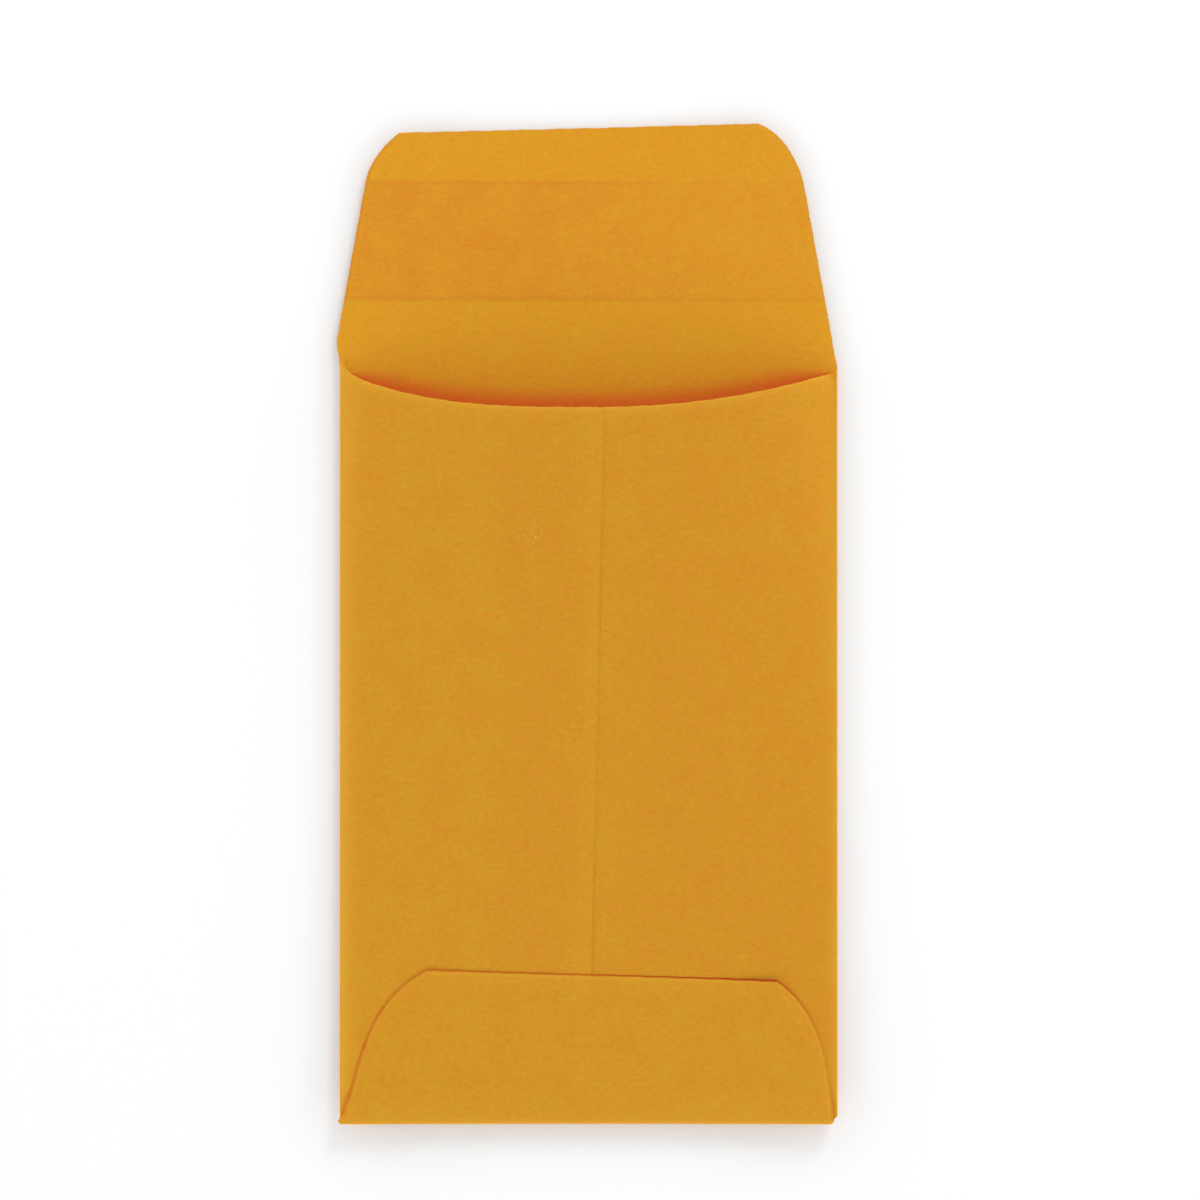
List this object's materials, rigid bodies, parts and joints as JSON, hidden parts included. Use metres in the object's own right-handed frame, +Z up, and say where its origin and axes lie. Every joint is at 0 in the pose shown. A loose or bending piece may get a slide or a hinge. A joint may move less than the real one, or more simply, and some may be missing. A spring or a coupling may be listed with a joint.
{
  "type": "coin envelope",
  "caption": "Small kraft paper coin envelope, open at the mouth, with a centre seam, a glued bottom flap and a gummed seal flap that folds over the mouth.",
  "frame": {"origin": "middle of the face that the envelope lies on, below the middle of its length and width with the seal flap laid open", "axes": "+Z up from the back panel to the front, +Y along the envelope from the bottom fold to the tip of the open seal flap, +X to the right seen from above with the flap at the top"},
  "size_m": [0.0576, 0.115, 0.0052],
  "materials": {
    "kraft_outside": "matt",
    "kraft_inside": "matt",
    "seam_glue": "matt",
    "seal_gum": "satin"
  },
  "bodies": {
    "envelope": {"back_panel": "kraft_inside", "left_side_fold": "kraft_outside", "right_side_fold": "kraft_outside", "left_side_panel": "kraft_outside", "right_side_panel": "kraft_outside", "seam_adhesive": "seam_glue", "bottom_fold": "kraft_outside", "bottom_flap": "kraft_outside", "bottom_flap_adhesive": "seam_glue", "flap_crease": "kraft_inside"},
    "flap": {"seal_flap": "kraft_inside", "seal_gum": "seal_gum"}
  },
  "joints": [
    {"name": "flap_fold", "type": "hinge", "parent": "envelope", "child": "flap", "pos_m": [0, 0.03297, 0.0028], "axis": [1, 0, 0], "range_deg": [0, 179], "deforming": ["flap_crease"]}
  ]
}
